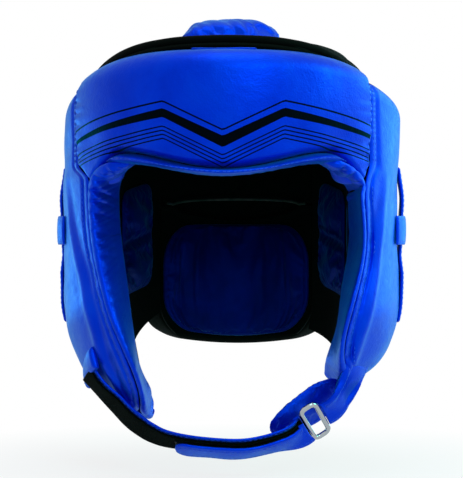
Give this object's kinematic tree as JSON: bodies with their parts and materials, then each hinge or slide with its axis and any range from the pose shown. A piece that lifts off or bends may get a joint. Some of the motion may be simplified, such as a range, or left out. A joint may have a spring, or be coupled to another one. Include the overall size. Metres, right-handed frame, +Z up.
{
  "type": "boxing headgear",
  "caption": "Open-face padded sparring headgear with brow roll, cheek pads, ear guards, nape pad, crown cap and ring-fastened chin strap.",
  "frame": {"origin": "middle of the head opening, between the ears", "axes": "face opening along -Y, wearer's left ear along +X, +Z up"},
  "size_m": [0.2518, 0.2628, 0.3111],
  "materials": {
    "blue_leather": "gloss",
    "pad_leather": "satin",
    "black_lining": "matte",
    "loop_fabric": "matte",
    "hook_fabric": "matte",
    "black_binding": "satin",
    "foam": "matte",
    "ring_metal": "polished"
  },
  "bodies": {
    "shell": {"forehead_skin": "blue_leather", "forehead_foam": "foam", "forehead_lining": "black_lining", "brow_roll": "blue_leather", "side_skin_left": "blue_leather", "side_foam_left": "foam", "side_lining_left": "black_lining", "cheek_roll_left": "blue_leather", "ear_sleeve_left": "blue_leather", "ear_bar_left": "blue_leather", "ear_cross_left": "blue_leather", "ear_pad_left": "pad_leather", "side_skin_right": "blue_leather", "side_foam_right": "foam", "side_lining_right": "black_lining", "cheek_roll_right": "blue_leather", "ear_sleeve_right": "blue_leather", "ear_bar_right": "blue_leather", "ear_cross_right": "blue_leather", "ear_pad_right": "pad_leather", "rear_skin": "blue_leather", "rear_foam": "foam", "rear_lining": "black_lining", "nape_pad": "pad_leather", "rear_loop_patch": "loop_fabric", "crown_cap": "black_lining", "crown_binding": "black_binding", "crown_pad": "blue_leather", "front_crown_tab": "blue_leather", "rear_crown_tab": "blue_leather", "strap_keeper": "blue_leather"},
    "chin_strap_body": {"chin_strap": "blue_leather", "chin_loop_strip": "loop_fabric", "chin_ring": "ring_metal", "ring_tab": "blue_leather", "chin_pad": "blue_leather"},
    "strap_tail_body": {"strap_tail": "blue_leather", "tail_hook_strip": "hook_fabric"},
    "rear_strap_body": {"rear_strap": "blue_leather"}
  },
  "joints": [
    {"name": "chin_strap_swing", "type": "hinge", "parent": "shell", "child": "chin_strap_body", "pos_m": [-0.0969, -0.0581, -0.086], "axis": [0.9996, -0.0268, 0], "range_deg": [-4, 24]},
    {"name": "tail_peel", "type": "hinge", "parent": "chin_strap_body", "child": "strap_tail_body", "pos_m": [0.05374, -0.06648, -0.12451], "axis": [-0.34, -0.6758, 0.654], "range_deg": [0, 60]},
    {"name": "rear_strap_peel", "type": "hinge", "parent": "shell", "child": "rear_strap_body", "pos_m": [-0.0579, 0.1141, 0.02], "axis": [0, 0, 1], "range_deg": [0, 75]}
  ]
}
